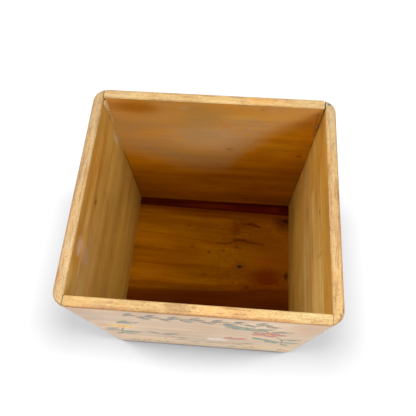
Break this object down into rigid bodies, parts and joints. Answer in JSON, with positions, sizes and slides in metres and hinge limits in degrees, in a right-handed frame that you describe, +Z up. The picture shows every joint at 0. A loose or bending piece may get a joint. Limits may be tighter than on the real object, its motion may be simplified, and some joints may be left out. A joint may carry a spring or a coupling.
{
  "type": "open wooden biscuit box",
  "caption": "Open-topped rectangular wooden box on a plank floor, with rounded corners, for holding biscuits or other small dry things.",
  "frame": {"origin": "middle of the box's underside, on the surface it stands on", "axes": "+X to the right and +Y to the back when the painted front is faced, +Z up through the open top"},
  "size_m": [0.1396, 0.127, 0.1461],
  "materials": {
    "board_wood": "clear semi-gloss varnish over pale pine, worn thin on the rim",
    "floor_wood": "clear semi-gloss varnish over pale pine",
    "brushed_paint": "thin brushed paint in faded colours, rubbed through in places",
    "dried_glue": "dried wood glue, amber and half clear",
    "pin_steel": "bright drawn wire, dressed flush"
  },
  "bodies": {
    "root": {"left_side": "board_wood", "right_side": "board_wood", "front_board": "board_wood", "back_board": "board_wood", "floor_front_plank": "floor_wood", "floor_middle_plank": "floor_wood", "floor_rear_plank": "floor_wood", "front_left_pins": "pin_steel", "front_right_pins": "pin_steel", "back_left_pins": "pin_steel", "back_right_pins": "pin_steel", "floor_pins": "pin_steel"}
  },
  "joints": []
}
